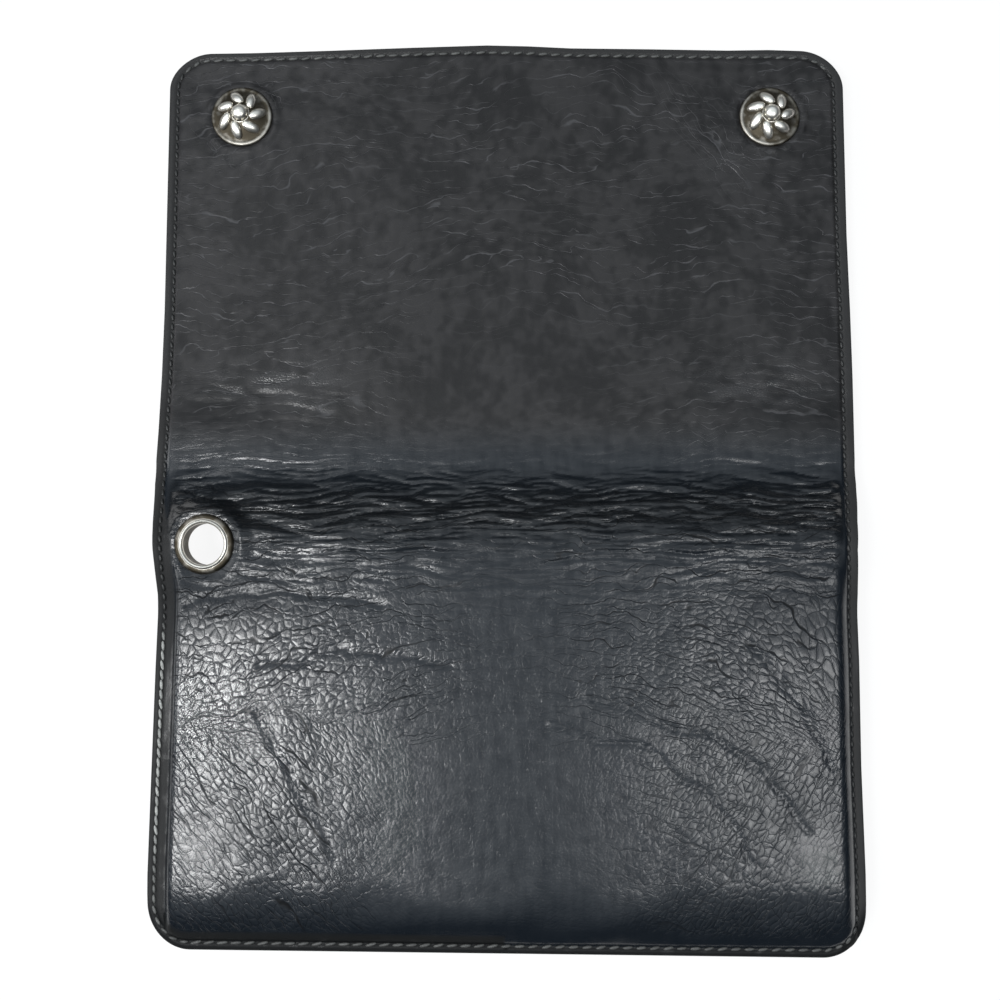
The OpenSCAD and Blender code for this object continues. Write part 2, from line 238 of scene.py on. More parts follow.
def shell_height(x, y):
    body_y = np.minimum(y, body_end_y)
    rim = rim_z + (crown_z - 0.5 - rim_z) * smooth((body_y + 34) / 18)
    start = np.where(x > 0, puff_start_right, puff_start_left)
    side = swell((half_w - np.abs(x) - start) / np.where(x > 0, puff_run_right, puff_run_left))
    end = swell((body_y + half_h - seam_end - 0.5) / (puff_run_end + 4.5 * ripple(x / 17, body_y / 30, 17)))
    body = rim + (crown_z - rim) * side * end
    fall = smooth((y - fold_low) / (fold_high - fold_low))
    return body + (flap_z - body) * fall


def on_flap(y):
    return smooth((y - 4) / 14)


def arch(x, y):
    low = smooth((-18 - y) / 45)
    left = -0.22 * x * smooth(-x / 35)
    right = 26 * (np.maximum(x, 0) / half_w) ** 2
    drift = 5.5 * ripple(x / 46, y / 38, 21) - 0.09 * np.minimum(x, 0)
    return y + low * (left + right) + on_flap(y) * drift


def slant(x, y):
    turn = np.where((x < 0) | (y > 0), math.radians(-52), math.radians(58))
    return x * np.cos(turn) + y * np.sin(turn), y * np.cos(turn) - x * np.sin(turn)


def on_body(y):
    return 1 - smooth((y + 16) / 14)


def in_fold(y):
    return bell(y + 6.0, 8.5)


long_creases = [
    [(58, -38), (70, -52), (80, -70)],
    [(12, -60), (34, -66), (50, -78), (60, -92)],
    [(20, -52), (44, -60), (62, -70), (72, -84)],
    [(-80, -30), (-58, -27), (-30, -31)],
    [(-60, -46), (-40, -42), (-14, -45)],
    [(-62, -56), (-52, -72), (-40, -92)],
    [(50, 99), (57, 84), (66, 68)],
]


def crease_depth(x, y):
    depth = np.zeros_like(x)
    wave_x = x + 2.2 * ripple(x / 9, y / 9, 41)
    wave_y = y + 2.2 * ripple(x / 9, y / 9, 42)
    for line in long_creases:
        nearest = np.full_like(x, 1e9)
        for (ax, ay), (bx, by) in zip(line, line[1:]):
            run = (bx - ax) ** 2 + (by - ay) ** 2
            t = np.clip(((wave_x - ax) * (bx - ax) + (wave_y - ay) * (by - ay)) / run, 0, 1)
            nearest = np.minimum(nearest, np.hypot(wave_x - ax - t * (bx - ax), wave_y - ay - t * (by - ay)))
        depth = np.maximum(depth, bell(nearest, 0.9))
    return depth


def fold_wrinkles(x, y):
    v = arch(x, y) + 1.2 * ripple(x / 14, y / 9, 3)
    long_fold = np.abs(ripple(x / 24, v / 3.6, 1)) ** 0.8
    short_fold = np.abs(ripple(x / 11, v / 2.0, 2))
    fine_fold = np.abs(ripple(x / 7, v / 1.3, 4))
    wrinkles = (1.45 * long_fold + 0.72 * short_fold + 0.24 * fine_fold) * in_fold(y)
    return wrinkles + (0.26 * long_fold + 0.20 * short_fold) * bell(y + 20, 9)


def seam_inset(x, y):
    upper = smooth((y + 30) / 40)
    seam_side = np.where(x < 0, 1.75 + 0.50 * upper, 2.40 + 0.20 * upper)
    round_end = np.clip((np.abs(y) - half_h + corner_r) / (corner_r - seam_end), 0, 1)
    return seam_side + (seam_end - seam_side) * round_end ** 2


def spots(x, y, rows):
    return sum(share * bell(np.hypot((x - at_x) / width, (y - at_y) / depth), 1)
               for at_x, at_y, width, depth, share in rows)


def leather_relief(x, y):
    edge = edge_distance(x, y)
    inside = smooth((edge - plain_edge) / plain_fade)
    relief = fold_wrinkles(x, y)
    sides = smooth((np.abs(x) - 22) / 26)
    relief += on_body(y) * sides * (0.24 * ripple(x / 19, y / 23, 5) + 0.035 * ripple(x / 5.0, y / 6.5, 6))
    relief += on_flap(y) * (0.50 * ripple(x / 42, y / 30, 8) + 0.06 * ripple(x / 19, y / 7.5, 9))
    relief -= (0.12 + 0.08 * on_body(y)) * crease_depth(x, y)
    pleats = spots(x, y, [(-62, 24, 20, 8, 1.0), (64, 25, 22, 8, 0.7)])
    relief += 0.42 * pleats * np.abs(ripple(x / 12, (y + 0.10 * x) / 3.4, 15))
    relief *= inside
    relief -= groove_depth * bell(edge - seam_inset(x, y) - 0.2 * on_body(y) * (x < 0), groove_half)
    roll = np.clip(edge, 0, edge_roll)
    relief -= edge_roll - np.sqrt(edge_roll ** 2 - (edge_roll - roll) ** 2)
    relief -= 0.55 * np.clip(1 - edge / seam_end, 0, 1) ** 1.5 * smooth((foot_y - y) / 6)
    for side in (-1, 1):
        dx = x - side * snap_x
        dy = y - snap_y
        r = np.hypot(dx, dy)
        a = np.arctan2(dy, dx)
        pucker = 1 + 0.35 * np.sin(9 * a + 2.0 * np.sin(3 * a)) + 0.2 * np.sin(17 * a + side)
        relief = relief * smooth((r - flat_r) / 3.5)
        relief += 0.34 * bell(r - pucker_r, 0.8) * pucker
        relief += 0.16 * bell(r - 12.0, 2.2) * np.sin(11 * a + 1.3 * side)
    gx = x - grommet_at[0]
    gy = y - grommet_at[1]
    gr = np.hypot(gx, gy)
    ga = np.arctan2(gy, gx)
    relief = relief * smooth((gr - flat_r) / 3.0)
    relief += 0.16 * bell(gr - pucker_r, 1.1) * (1 + 0.7 * np.sin(7 * ga + 0.6))
    return relief


def seat_height(x, y):
    gx = x - grommet_at[0]
    gy = y - grommet_at[1]
    near = 1 - smooth((np.hypot(gx, gy) - 7.2) / 5.5)
    seat = grommet_z + gx * math.tan(grommet_lean[0]) + gy * math.tan(grommet_lean[1])
    return near, seat


def base_height(x, y):
    near, seat = seat_height(x, y)
    level = shell_height(x, y)
    return level + (seat - level) * near


def leather_height(x, y):
    return base_height(x, y) + leather_relief(x, y)


def settle(x, y):
    left = np.interp(y, [-115, -97, -75, -46, -28, -20, -12, -7, 0, 6, 14, 28, 45],
                     [0.8, 0.5, 0.8, 1.25, 1.65, 1.2, 0.5, -0.1, -1.0, -1.2, -0.8, -0.3, 0.0])
    right = np.interp(y, [-115, -95, -70, -45, -28, -17, -10, -5, 0, 6, 28, 45, 65],
                      [-0.5, -0.3, -0.7, -0.55, -0.8, -1.4, -0.7, 0.2, 0.8, 1.0, 1.0, 0.8, 0.4])
    top = np.interp(x, [-88, -66, -46, -25, -5, 6, 17, 38, 58, 69, 88],
                    [-1.6, -1.25, -0.6, 0.2, 0.85, 0.6, 0.05, -0.2, -0.55, -0.4, -1.0])
    skew = -1.1 * (x / half_w) * smooth((-55 - y) / 55)
    side = np.where(x < 0, left, right) * smooth((np.abs(x) - 70) / 18)
    return x + side, y + top * smooth((y - 100) / 14) + skew


def lines_between(low, high, step, low_edge=False, high_edge=False):
    near = [0.0, 0.1, 0.3, 0.6, 1.0, 1.4, 1.7, 2.0, 2.3, 2.7, 3.0, 3.2, 3.45, 3.8, 4.5, 5.3, 6.1]
    start = low + near[-1] if low_edge else low
    stop = high - near[-1] if high_edge else high
    middle = list(np.linspace(start, stop, max(2, round((stop - start) / step) + 1)))
    if low_edge:
        middle = [low + e for e in near[:-1]] + middle
    if high_edge:
        middle = middle + [high - e for e in reversed(near[:-1])]
    return np.array(middle)


columns = lines_between(-half_w, half_w, 0.82, True, True)
body_rows = np.concatenate([lines_between(-half_h, -34, 0.8, low_edge=True),
                            lines_between(-34, split_y, 0.36)[1:]])
flap_rows = np.concatenate([lines_between(split_y, 34, 0.40),
                            lines_between(34, half_h, 0.82, high_edge=True)[1:]])


def round_corners(x, y):
    a = np.clip((np.abs(x) - (half_w - corner_r)) / corner_r, 0, 1)
    b = np.clip((np.abs(y) - (half_h - corner_r)) / corner_r, 0, 1)
    rx = np.where((a > 0) & (b > 0), a * np.sqrt(1 - b * b / 2), a)
    ry = np.where((a > 0) & (b > 0), b * np.sqrt(1 - a * a / 2), b)
    x = np.where(a > 0, np.sign(x) * (half_w - corner_r + rx * corner_r), x)
    y = np.where(b > 0, np.sign(y) * (half_h - corner_r + ry * corner_r), y)
    return x, y


def read_vectors(items, field):
    values = np.empty(len(items) * 3)
    items.foreach_get(field, values)
    return values.reshape(-1, 3)


def store(mesh, name, *values):
    kind, field = ("FLOAT", "value") if len(values) == 1 else ("FLOAT_VECTOR", "vector")
    mesh.attributes.new(name, kind, "POINT").data.foreach_set(field, np.stack(values, 1).ravel())


def flat_places(mesh):
    place = read_vectors(mesh.attributes["flat"].data, "vector")
    return place[:, 0], place[:, 1]


def leather_under(x, y):
    return base_height(x, y) - leather_t


def face_outward():
    bpy.ops.mesh.select_all(action="SELECT")
    bpy.ops.mesh.normals_make_consistent(inside=False)
    bpy.ops.object.mode_set(mode="OBJECT")


def hide_grid(name, rows, cols, height, under, hole_r):
    bpy.ops.object.select_all(action="DESELECT")
    bpy.ops.mesh.primitive_grid_add(x_subdivisions=len(cols) - 1, y_subdivisions=len(rows) - 1, size=2)
    piece = bpy.context.object
    piece.name = name
    mesh = piece.data
    place = read_vectors(mesh.vertices, "co")
    i = np.rint((place[:, 0] + 1) / 2 * (len(cols) - 1)).astype(int)
    j = np.rint((place[:, 1] + 1) / 2 * (len(rows) - 1)).astype(int)
    x, y = round_corners(cols[i], rows[j])
    store(mesh, "flat", x, y, np.zeros_like(x))
    sx, sy = settle(x, y)
    mesh.vertices.foreach_set("co", (np.stack([sx, sy, height(x, y)], 1) * mm).ravel())
    mesh.update()
    bpy.ops.object.mode_set(mode="EDIT")
    bpy.ops.mesh.select_all(action="DESELECT")
    bpy.ops.object.mode_set(mode="OBJECT")
    middle = read_vectors(mesh.polygons, "center") / mm
    bored = np.hypot(middle[:, 0] - grommet_at[0], middle[:, 1] - grommet_at[1]) < hole_r
    mesh.polygons.foreach_set("select", bored)
    bpy.ops.object.mode_set(mode="EDIT")
    bpy.ops.mesh.select_mode(type="FACE")
    bpy.ops.mesh.delete(type="FACE")
    bpy.ops.mesh.select_all(action="SELECT")
    bpy.ops.mesh.extrude_region_move(TRANSFORM_OT_translate={"value": (0, 0, -leather_t * mm)})
    bpy.ops.object.mode_set(mode="OBJECT")
    below = np.empty(len(mesh.vertices), dtype=bool)
    mesh.vertices.foreach_get("select", below)
    place = read_vectors(mesh.vertices, "co")
    x, y = flat_places(mesh)
    place[:, 2] = np.where(below, under(x, y) * mm, place[:, 2])
    mesh.vertices.foreach_set("co", place.ravel())
    mesh.update()
    bpy.ops.object.mode_set(mode="EDIT")
    face_outward()
    bpy.ops.object.shade_smooth_by_angle(angle=math.radians(50))
    return piece


def match_normals(piece, height):
    mesh = piece.data
    x, y = flat_places(mesh)
    h = 0.05
    slope_x = (height(x + h, y) - height(x - h, y)) / (2 * h)
    slope_y = (height(x, y + h) - height(x, y - h)) / (2 * h)
    normal = np.stack([-slope_x, -slope_y, np.ones_like(x)], 1)
    normal /= np.linalg.norm(normal, axis=1)[:, None]
    corner_vertex = np.empty(len(mesh.loops), dtype=np.int32)
    mesh.loops.foreach_get("vertex_index", corner_vertex)
    faces = read_vectors(mesh.polygons, "normal")
    sizes = np.empty(len(mesh.polygons), dtype=np.int32)
    mesh.polygons.foreach_get("loop_total", sizes)
    upward = np.repeat(faces[:, 2] > 0.35, sizes)
    away = edge_distance(x, y)[corner_vertex] > 0.6
    chosen = np.where((upward & away)[:, None], normal[corner_vertex], 0.0)
    mesh.normals_split_custom_set(chosen.tolist())


pleat_glints = [
    (-58, 25, 17, 7, 1.0),
    (66, 25, 17, 8, 1.0),
    (57, 83, 6, 5, 0.6),
    (77, 104, 5, 4, 0.5),
    (-70, 84, 8, 3, 0.4),
]
dull_spots = [
    (72, -27, 18, 14, 0.75),
    (-70, -29, 20, 9, 0.85),
    (-76, -58, 14, 11, -0.55),
    (-62, -86, 18, 9, 0.40),
    (66, -78, 22, 12, 0.25),
]


def mark_hide(piece):
    mesh = piece.data
    x, y = flat_places(mesh)
    edge = edge_distance(x, y)
    across, along = slant(x, y)
    low = smooth((-52 - y - 9 * ripple(x / 17, y / 17, 12)) / 12)
    wide_low = smooth((-50 - y - 9 * ripple(x / 17, y / 17, 12)) / 20)
    calm = 1 - spots(x, y, [(-73, -89, 11, 11, 0.7), (74, -90, 10, 10, 0.7)])
    outer = smooth((np.abs(x) - 5) / 54)
    flanks = 0.30 + 0.70 * smooth((np.abs(x) - 2) / 24)
    inner = smooth((edge - plain_edge) / 3.5)
    fold_side = bell(y - 17, 6) * smooth((np.abs(x) - 45) / 25)
    glint = spots(x, y, pleat_glints) * (0.25 + 0.75 * smooth((ripple(x / 7, y / 3.6, 14) + 0.25) / 0.6))
    glint -= 0.4 * fold_side + spots(x, y, dull_spots)
    lined = smooth((y - 34) / 22) + spots(x, y, [(-66, 24, 30, 30, 1.0), (62, 24, 28, 28, 1.0)])
    bunch = 0.35 + 0.65 * smooth((ripple(x / 21, y / 13, 22) + 0.30) / 0.45)
    bunch = np.maximum(bunch, smooth((np.abs(x) - 62) / 16))
    lined = bunch * on_flap(y) * smooth((edge - 2.7) / 0.8) * np.clip(0.12 + 0.88 * lined, 0, 1)
    cap_x = x - np.sign(x) * snap_x
    cap_y = y - snap_y
    cap_r = np.hypot(cap_x, cap_y)
    cap_a = np.arctan2(cap_y, cap_x)
    ringed = bell(cap_r - 11.5, 4.0) * smooth((cap_r - 8.2) / 0.8) * smooth((np.pi - np.abs(cap_a)) / 0.2)
    ringed = ringed * smooth((ripple(x / 9, y / 9, 27) + 0.15) / 0.5)
    store(mesh, "ring", 10 * cap_a, cap_r, 40 * np.sign(x))
    store(mesh, "hide", x, arch(x, y), np.zeros_like(x))
    store(mesh, "slant", across, along, np.zeros_like(x))
    skin = inner * on_body(y)
    lower = skin * low * calm
    fan_along, fan_across = slant(x - 59, y - 84)
    fan = bell(fan_across, 6) * bell(fan_along, 26) * on_flap(y)
    away = 0.40 + 0.60 * smooth((-20 - y + 6 * ripple(x / 13, y / 13, 18)) / 22)
    upper_cells = skin * away * (1 - low) * (0.35 + 0.65 * outer) + 0.24 * skin * low * (1 - outer)
    upper_lines = skin * (1 - wide_low) * flanks + 0.5 * lower * bell(x - 42, 20)
    store(mesh, "cells_high", upper_cells + 0.3 * inner * in_fold(y))
    store(mesh, "cells_low", lower * outer)
    store(mesh, "lines_high", upper_lines + 0.7 * inner * in_fold(y))
    store(mesh, "lines_low", lower * smooth((np.abs(x) - 20) / 30) * np.where(x > 0, 0.55, 1.0))
    store(mesh, "ringed", ringed * inner * on_flap(y))
    store(mesh, "fan", fan * inner)
    # Painted shade: the fold mask darkens the hide across the fold and on the flap's sides just above it,
    # standing for the shade on the sloping leather there.
    store(mesh, "fold", smooth((edge - 2.6) / 2.0) * (bell(y + 7.5, 8.5) + 0.45 * fold_side))
    store(mesh, "flap", on_flap(y))
    # Painted shade: down the left of the pocket half the rim mask reaches 2.7 mm further in and the rim tone
    # is darkened, standing for the shade on the rim and the slope beside the seam. The rim is also darker at
    # the foot.
    valley = on_body(y) * (x < 0)
    store(mesh, "rim", 1 - smooth(edge - seam_inset(x, y) - 2.7 * valley + 0.3))
    store(mesh, "rim_foot_and_left_shade", np.maximum(smooth((foot_y - y) / 6), 0.45 * valley))
    store(mesh, "glint", glint)
    store(mesh, "lined", lined)


def noise(tree, place, scale, detail, output="Fac", dimensions="3D"):
    made = add_node(tree, "ShaderNodeTexNoise", {"noise_dimensions": dimensions}, Vector=place, Scale=scale,
                    Detail=detail)
    return made.outputs[output]


def vector_maths(tree, operation, **sockets):
    return add_node(tree, "ShaderNodeVectorMath", {"operation": operation}, **sockets).outputs["Vector"]


def leather_group(name, outputs):
    group = bpy.data.node_groups.new(name, "ShaderNodeTree")
    for label, kind in (("Place", "NodeSocketVector"), ("Cells", "NodeSocketVector"),
                        ("Wander", "NodeSocketFloat"), ("Width", "NodeSocketFloat")):
        group.interface.new_socket(label, in_out="INPUT", socket_type=kind)
    for label in outputs:
        group.interface.new_socket(label, in_out="OUTPUT", socket_type="NodeSocketFloat")
    given = add_node(group, "NodeGroupInput").outputs
    drift = noise(group, given["Place"], 0.17, 2.5, "Color")
    way = vector_maths(group, "SUBTRACT", i0=drift, i1=(0.5, 0.5, 0.5))
    push = vector_maths(group, "SCALE", i0=way, Scale=given["Wander"])
    moved = vector_maths(group, "ADD", i0=push, i1=given["Place"])
    scaled = vector_maths(group, "MULTIPLY", i0=moved, i1=given["Cells"])
    return group, given["Width"], moved, scaled


cells, cells_width, cells_moved, cells_spot = leather_group("leather_cells", ("Crack", "Dome"))
cells_kind = {"feature": "DISTANCE_TO_EDGE", "voronoi_dimensions": "2D"}
cells_net = add_node(cells, "ShaderNodeTexVoronoi", cells_kind, Vector=cells_spot, Scale=1.0)
cells_edge = cells_net.outputs["Distance"]
cells_gape = span(cells, noise(cells, cells_moved, 0.45, 2.0), 0.35, 0.65, 0.35, 1.5)
cells_wide = maths(cells, "MULTIPLY", cells_gape, cells_width)
cells_line = span(cells, cells_edge, 0.0, cells_wide, 1.0, 0.0, "SMOOTHSTEP")
cells_dome = span(cells, cells_edge, 0.0, 0.38, 0.0, 1.0, "SMOOTHSTEP")
add_node(cells, "NodeGroupOutput", Crack=cells_line, Dome=cells_dome)

lines, lines_width, lines_moved, lines_spot = leather_group("leather_lines", ("Line",))
lines_row = add_node(lines, "ShaderNodeSeparateXYZ", Vector=lines_spot).outputs["Y"]
lines_gape = span(lines, noise(lines, lines_moved, 0.30, 2.0), 0.35, 0.65, 0.35, 1.4)
lines_wide = maths(lines, "MULTIPLY", lines_gape, lines_width)
lines_found = []
for density, share, shift in ((1.0, 1.0, 0.0), (1.8, 0.8, 7.3)):
    lines_place = vector_maths(lines, "MULTIPLY_ADD", i0=lines_spot, i1=(density, 0.34 * density, 0.0),
                               i2=(shift, shift, 0.0))
    lines_wave = noise(lines, lines_place, 1.0, 2.0, dimensions="2D")
    lines_count = maths(lines, "MULTIPLY_ADD", lines_wave, 3.0, maths(lines, "MULTIPLY", lines_row, density))
    lines_off = maths(lines, "PINGPONG", lines_count, 0.5)
    lines_line = span(lines, lines_off, 0.0, lines_wide, share, 0.0, "SMOOTHSTEP")
    lines_piece = vector_maths(lines, "MULTIPLY_ADD", i0=lines_spot, i1=(1.5, 1.0, 0.0), i2=(shift, 3.0, 0.0))
    lines_break = noise(lines, lines_piece, 1.0, 1.0, dimensions="2D")
    lines_kept = span(lines, lines_break, 0.38, 0.54, 0.0, 1.0, "SMOOTHSTEP")
    lines_found.append(maths(lines, "MULTIPLY", lines_line, lines_kept))
add_node(lines, "NodeGroupOutput", Line=maths(lines, "MAXIMUM", *lines_found))


def attribute(tree, name, output="Fac"):
    return add_node(tree, "ShaderNodeAttribute", {"attribute_name": name}).outputs[output]


def mix_colour(tree, share, first, second):
    mixed = add_node(tree, "ShaderNodeMix", {"data_type": "RGBA"}, i0=share, i6=first, i7=second)
    return mixed.outputs[2]


def bump(tree, strength, distance, height):
    made = add_node(tree, "ShaderNodeBump", Strength=strength, Distance=distance, Height=height)
    return made.outputs["Normal"]


def cover(material, **sockets):
    skin = add_node(material.node_tree, "ShaderNodeBsdfPrincipled", **sockets)
    add_node(material.node_tree, "ShaderNodeOutputMaterial", Surface=skin.outputs["BSDF"])


waxed_black = (0.0045, 0.0068, 0.0100, 1)
matte_dark = (0.0104, 0.0102, 0.0106, 1)
matte_pale = (0.0224, 0.0217, 0.0222, 1)
fold_shade_black = (0.0040, 0.0050, 0.0062, 1)
crease_highlight_grey = (0.060, 0.060, 0.063, 1)
crack_shade_black = (0.0018, 0.0021, 0.0026, 1)
rim_grey = (0.0235, 0.0235, 0.0236, 1)
rim_black = (0.0045, 0.0050, 0.0053, 1)
waxed_leather = new_material("waxed_leather")
hide_tree = waxed_leather.node_tree
hide_place = attribute(hide_tree, "hide", "Vector")
hide_slant = attribute(hide_tree, "slant", "Vector")
hide_glint = attribute(hide_tree, "glint")
hide_lined = attribute(hide_tree, "lined")
cells_high = attribute(hide_tree, "cells_high")
cells_low = attribute(hide_tree, "cells_low")
lines_high = attribute(hide_tree, "lines_high")
lines_low = attribute(hide_tree, "lines_low")
hide_fan = attribute(hide_tree, "fan")
hide_flap = attribute(hide_tree, "flap")
hide_fold_shade = attribute(hide_tree, "fold")
hide_rim = attribute(hide_tree, "rim")
hide_ring = attribute(hide_tree, "ring", "Vector")
hide_ringed = attribute(hide_tree, "ringed")


def grain(group, place, cells_per_mm, wander, width):
    return add_node(hide_tree, "ShaderNodeGroup", {"node_tree": group}, Place=place,
                    Cells=cells_per_mm + (1.0,), Wander=wander, Width=width)


high_cells = grain(cells, hide_place, (0.46, 0.90), 2.6, 0.085)
low_cells = grain(cells, hide_slant, (0.42, 0.74), 2.6, 0.085)
fine_cells = grain(cells, hide_place, (1.25, 1.50), 1.2, 0.22)
long_lines = grain(lines, hide_place, (0.045, 0.29), 3.5, 0.066).outputs["Line"]
cross_lines = grain(lines, hide_slant, (0.036, 0.28), 2.6, 0.070).outputs["Line"]
short_lines = grain(lines, hide_ring, (0.070, 0.26), 6.5, 0.060).outputs["Line"]
hide_patch = noise(hide_tree, hide_place, 0.055, 3.0)
hide_pores = noise(hide_tree, hide_place, 1.9, 4.0)
hide_lumps = noise(hide_tree, hide_place, 0.30, 1.0)
hide_grain = vector_maths(hide_tree, "MULTIPLY", i0=hide_place, i1=(0.50, 0.07, 1.0))
hide_streak = noise(hide_tree, hide_grain, 1.0, 3.0)


def product(first, second):
    return maths(hide_tree, "MULTIPLY", first, second)


def most(first, second):
    return maths(hide_tree, "MAXIMUM", first, second)


def add_share(first, second, base):
    return maths(hide_tree, "MULTIPLY_ADD", first, second, base)


cap_crease = most(product(cross_lines, hide_fan), product(short_lines, hide_ringed))
flap_crease = most(product(long_lines, hide_lined), cap_crease)
crack_high = product(high_cells.outputs["Crack"], cells_high)
crack_cells = add_share(low_cells.outputs["Crack"], cells_low, crack_high)
crack_lines = most(product(long_lines, lines_high), product(cross_lines, lines_low))
crack_all = most(product(crack_cells, 0.45), crack_lines)
dome_high = product(high_cells.outputs["Dome"], cells_high)
dome_all = add_share(low_cells.outputs["Dome"], cells_low, dome_high)
cells_both = maths(hide_tree, "ADD", cells_high, cells_low)
lumps_share = add_share(hide_flap, 2.0, cells_both)
height_cells = add_share(dome_all, 0.19, product(crack_all, -0.33))
height_lumps = add_share(product(hide_lumps, lumps_share), 0.5, height_cells)
height_fine = add_share(fine_cells.outputs["Crack"], -0.04, height_lumps)
height_caps = add_share(cap_crease, -0.12, height_fine)
height_lines = add_share(flap_crease, -0.42, height_caps)
glint_domes = product(fine_cells.outputs["Dome"], hide_glint)
height_glint = add_share(glint_domes, 0.14, height_lines)
height_streak = add_share(hide_streak, 0.10, height_glint)
pore_depth = add_share(hide_rim, 0.35, 0.09)
hide_height = add_share(hide_pores, pore_depth, height_streak)
hide_blotch = add_share(hide_lumps, 0.40, product(hide_patch, 0.60))
hide_cloud = span(hide_tree, hide_blotch, 0.41, 0.59, 0.0, 1.0, "SMOOTHSTEP")
hide_matte = mix_colour(hide_tree, hide_cloud, matte_dark, matte_pale)
hide_tone = mix_colour(hide_tree, hide_flap, waxed_black, hide_matte)
# Painted shade across the fold and beside it on the flap.
hide_with_fold_shade = mix_colour(hide_tree, hide_fold_shade, hide_tone, fold_shade_black)
# Painted highlight: the flap's creases and the creases round the caps are paled, standing for light caught on
# the crease ridges.
crease_highlight = product(flap_crease, 0.72)
hide_with_crease_highlight = mix_colour(hide_tree, crease_highlight, hide_with_fold_shade, crease_highlight_grey)
# Painted shade: the cracks of the grain are darkened, standing for the shade inside them.
hide_with_crack_shade = mix_colour(hide_tree, crack_all, hide_with_crease_highlight, crack_shade_black)
# The rim is darker at the foot and, as painted shade, down the left of the pocket half.
rim_tone = mix_colour(hide_tree, attribute(hide_tree, "rim_foot_and_left_shade"), rim_grey, rim_black)
hide_edge = mix_colour(hide_tree, hide_rim, hide_with_crack_shade, rim_tone)
rough_base = span(hide_tree, hide_flap, 0.0, 1.0, 0.13, 0.46)
rough_patch = add_share(hide_patch, 0.16, rough_base)
rough_crack = add_share(crack_all, 0.25, rough_patch)
rough_rim = add_share(hide_rim, 0.34, rough_crack)
hide_rough = add_share(hide_glint, -0.20, rough_rim)
hide_bump = bump(hide_tree, 0.8, 0.00020, hide_height)
body_share = maths(hide_tree, "SUBTRACT", 1.0, hide_flap)
wax_cloud = maths(hide_tree, "SUBTRACT", maths(hide_tree, "ADD", hide_streak, hide_lumps), 1.0)
wax_worn = add_share(product(wax_cloud, body_share), 0.65, 0.60)
wax_crack = add_share(crack_all, -0.60, wax_worn)
wax_flap = add_share(hide_flap, -0.44, wax_crack)
wax_glint = add_share(hide_glint, 0.35, wax_flap)
hide_wax = add_share(product(hide_rim, body_share), -0.66, wax_glint)
cover(waxed_leather, Base_Color=hide_edge, Roughness=hide_rough, Specular_IOR_Level=0.15,
      Coat_Weight=hide_wax, Coat_Roughness=0.24, Normal=hide_bump, Coat_Normal=hide_bump)

hide_rows = {"body": body_rows, "flap": flap_rows}
hide_nodes = {"body": ("back_panel", "grommet_band", "fold_leather"), "flap": ("flap_panel",)}
for part, rows in hide_rows.items():
    leather = hide_grid("outer_leather_" + part, rows, columns, leather_height, leather_under, leather_hole_r)
    mark_hide(leather)
    match_normals(leather, leather_height)
    leather.data.materials.append(waxed_leather)
    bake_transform(leather)
    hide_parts(*hide_nodes[part])


# Edge thread. Waxed black linen runs round the whole edge in a groove, one short raised stitch after
# another, closer together along the sides than across the ends.
# Down the left of the pocket half the stitches are longer, and the thread there is painted pale as a painted
# highlight.
stitch_side_pitch = 2.4
stitch_end_pitch = 3.25
stitch_corner_pitch = 2.5
stitches_round_corner = 5
stitch_share = 0.42
thread_r = 0.42
thread_half_high = 0.34
thread_lift = 0.16
thread_black = (0.004, 0.004, 0.004, 1)
thread_dark = (0.010, 0.011, 0.011, 1)
thread_pale = (0.60, 0.61, 0.58, 1)


def stitch_run():
    out_y = half_h - seam_end
    in_x = half_w - corner_r
    in_y = half_h - corner_r
    run = []
    across = round(2 * in_x / stitch_end_pitch)
    for k in range(across):
        x = -in_x + (k + 0.5) * 2 * in_x / across
        run.append((x, out_y, 0.0, stitch_end_pitch))
        run.append((x, -out_y, 0.0, stitch_end_pitch))
    along = round(2 * in_y / stitch_side_pitch)
    for k in range(along):
        y = -in_y + (k + 0.5) * 2 * in_y / along
        for side in (-1, 1):
            run.append((side * (half_w - seam_inset(side, y)), y, math.pi / 2, stitch_side_pitch))
    for k in range(stitches_round_corner):
        turn = (k + 0.5) / stitches_round_corner * math.pi / 2
        for side in (-1, 1):
            for end in (-1, 1):
                out_x = half_w - seam_inset(side, end * in_y)
                x = side * (in_x + (out_x - in_x) * math.cos(turn))
                y = end * (in_y + (out_y - in_y) * math.sin(turn))
                heading = math.atan2(end * math.cos(turn), -side * math.sin(turn))
                run.append((x, y, heading, stitch_corner_pitch))
    return np.array(run)


def add_piece(name, points, edges, faces):
    mesh = bpy.data.meshes.new(name)
    mesh.from_pydata(points, edges, faces)
    piece = bpy.data.objects.new(name, mesh)
    scene.collection.objects.link(piece)
    bpy.ops.object.select_all(action="DESELECT")
    piece.select_set(True)
    bpy.context.view_layer.objects.active = piece
    return piece


def copy_ball(name, segments, rings, places):
    bpy.ops.object.select_all(action="DESELECT")
    bpy.ops.mesh.primitive_uv_sphere_add(segments=segments, ring_count=rings, radius=1)
    ball = bpy.context.object
    points = read_vectors(ball.data.vertices, "co")
    faces = [tuple(face.vertices) for face in ball.data.polygons]
    bpy.data.objects.remove(ball)
    all_points = []
    all_faces = []
    for k, place in enumerate(places):
        all_points.append(points @ np.array(place.to_3x3()).T + np.array(place.translation))
        all_faces.extend(tuple(v + k * len(points) for v in face) for face in faces)
    piece = add_piece(name, np.concatenate(all_points).tolist(), [], all_faces)
    piece.data.polygons.foreach_set("use_smooth", np.ones(len(all_faces), dtype=bool))
    piece.data.update()
    return piece, points


